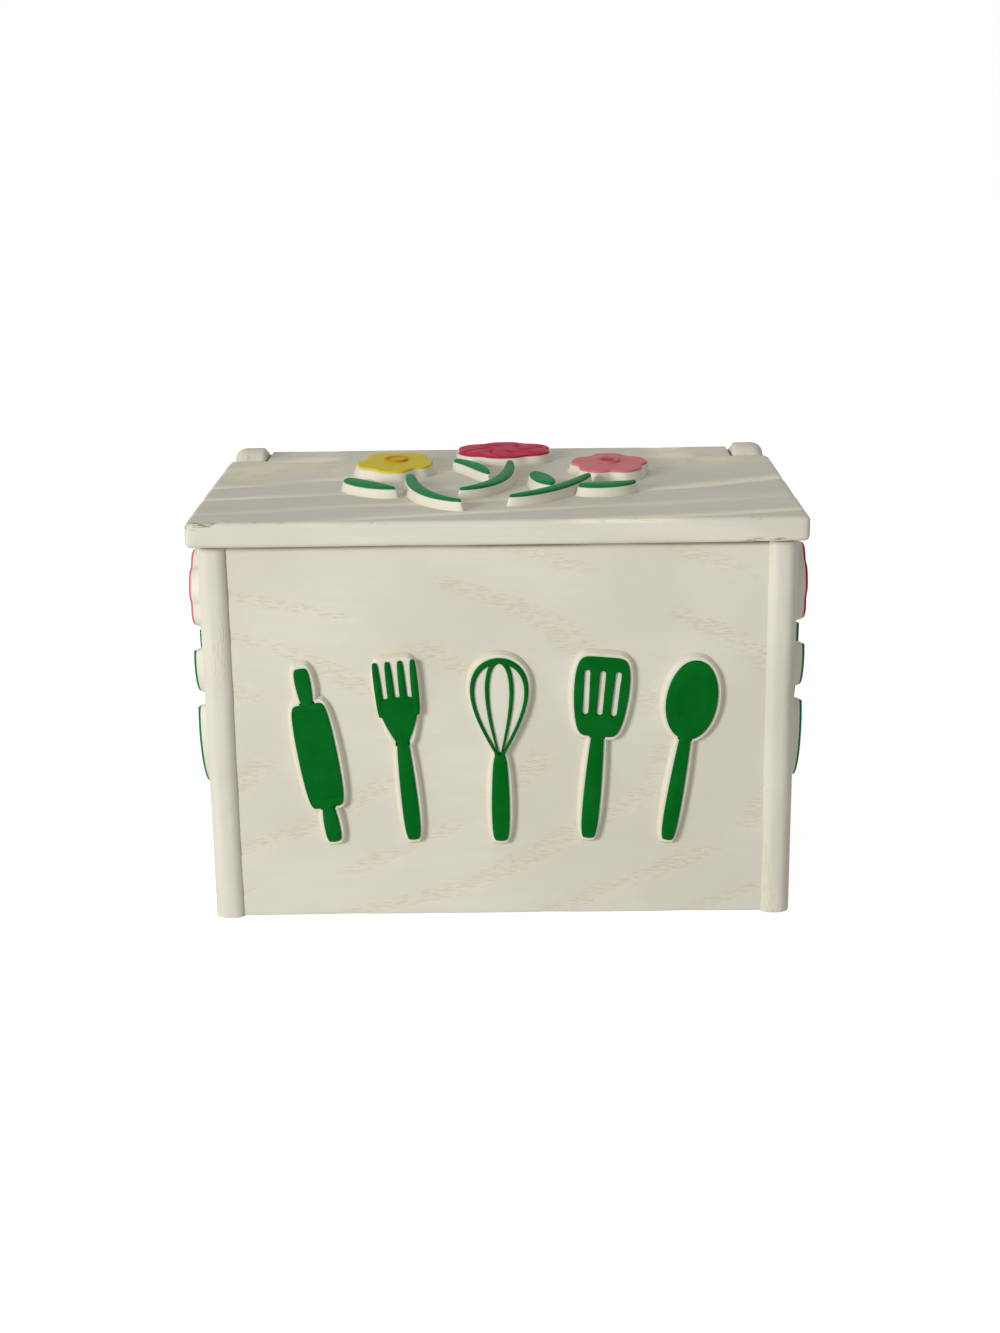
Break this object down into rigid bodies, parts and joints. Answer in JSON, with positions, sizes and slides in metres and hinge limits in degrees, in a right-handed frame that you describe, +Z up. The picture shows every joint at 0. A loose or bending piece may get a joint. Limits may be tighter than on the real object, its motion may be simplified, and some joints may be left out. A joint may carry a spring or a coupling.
{
  "type": "recipe card box",
  "caption": "Box for index cards with a pin-hinged overhanging lid, front panel set back between rounded posts, and raised painted flowers and kitchen tools.",
  "frame": {"origin": "middle of the footprint, on the surface that the box stands on", "axes": "+X to the right along the width, +Y to the back, +Z up"},
  "size_m": [0.1576, 0.102, 0.1093],
  "materials": {
    "cream_board": "cream paint, rubbed back over the grain, satin",
    "cream_relief": "cream paint, satin",
    "leaf_green_enamel": "brushed-on gloss enamel",
    "stem_green_enamel": "brushed-on gloss enamel",
    "yellow_enamel": "brushed-on gloss enamel",
    "orange_enamel": "brushed-on gloss enamel",
    "red_enamel": "brushed-on gloss enamel",
    "pink_enamel": "brushed-on gloss enamel",
    "rose_enamel": "brushed-on gloss enamel",
    "steel_pin": "drawn wire"
  },
  "bodies": {
    "case": {"back_panel": "cream_board", "bottom_panel": "cream_board", "front_fork": "leaf_green_enamel", "front_panel": "cream_board", "front_relief": "cream_relief", "front_rolling_pin": "leaf_green_enamel", "front_spoon": "leaf_green_enamel", "front_turner": "leaf_green_enamel", "front_whisk": "leaf_green_enamel", "hinge_pin_left": "steel_pin", "hinge_pin_right": "steel_pin", "left_first_eye": "rose_enamel", "left_first_high_leaf": "stem_green_enamel", "left_first_low_leaf": "stem_green_enamel", "left_first_petals": "pink_enamel", "left_first_stem": "stem_green_enamel", "left_last_eye": "rose_enamel", "left_last_high_leaf": "stem_green_enamel", "left_last_low_leaf": "stem_green_enamel", "left_last_petals": "red_enamel", "left_last_stem": "stem_green_enamel", "left_middle_eye": "orange_enamel", "left_middle_petals": "yellow_enamel", "left_middle_stem": "stem_green_enamel", "left_relief": "cream_relief", "right_first_eye": "rose_enamel", "right_first_high_leaf": "stem_green_enamel", "right_first_low_leaf": "stem_green_enamel", "right_first_petals": "red_enamel", "right_first_stem": "stem_green_enamel", "right_last_eye": "rose_enamel", "right_last_high_leaf": "stem_green_enamel", "right_last_low_leaf": "stem_green_enamel", "right_last_petals": "pink_enamel", "right_last_stem": "stem_green_enamel", "right_middle_eye": "orange_enamel", "right_middle_petals": "yellow_enamel", "right_middle_stem": "stem_green_enamel", "right_relief": "cream_relief", "side_board_left": "cream_board", "side_board_right": "cream_board"},
    "lid": {"lid_board": "cream_board", "lid_bud": "stem_green_enamel", "lid_pink_eye": "rose_enamel", "lid_pink_leaf": "stem_green_enamel", "lid_pink_petals": "pink_enamel", "lid_pink_stem": "stem_green_enamel", "lid_red_leaf": "stem_green_enamel", "lid_red_petals": "red_enamel", "lid_red_stem": "stem_green_enamel", "lid_relief": "cream_relief", "lid_yellow_eye": "orange_enamel", "lid_yellow_leaf": "stem_green_enamel", "lid_yellow_petals": "yellow_enamel", "lid_yellow_stem": "stem_green_enamel"}
  },
  "joints": [
    {"name": "lid_hinge", "type": "hinge", "parent": "case", "child": "lid", "pos_m": [0, 0.0445, 0.10265], "axis": [-1, 0, 0], "range_deg": [0, 98]}
  ]
}
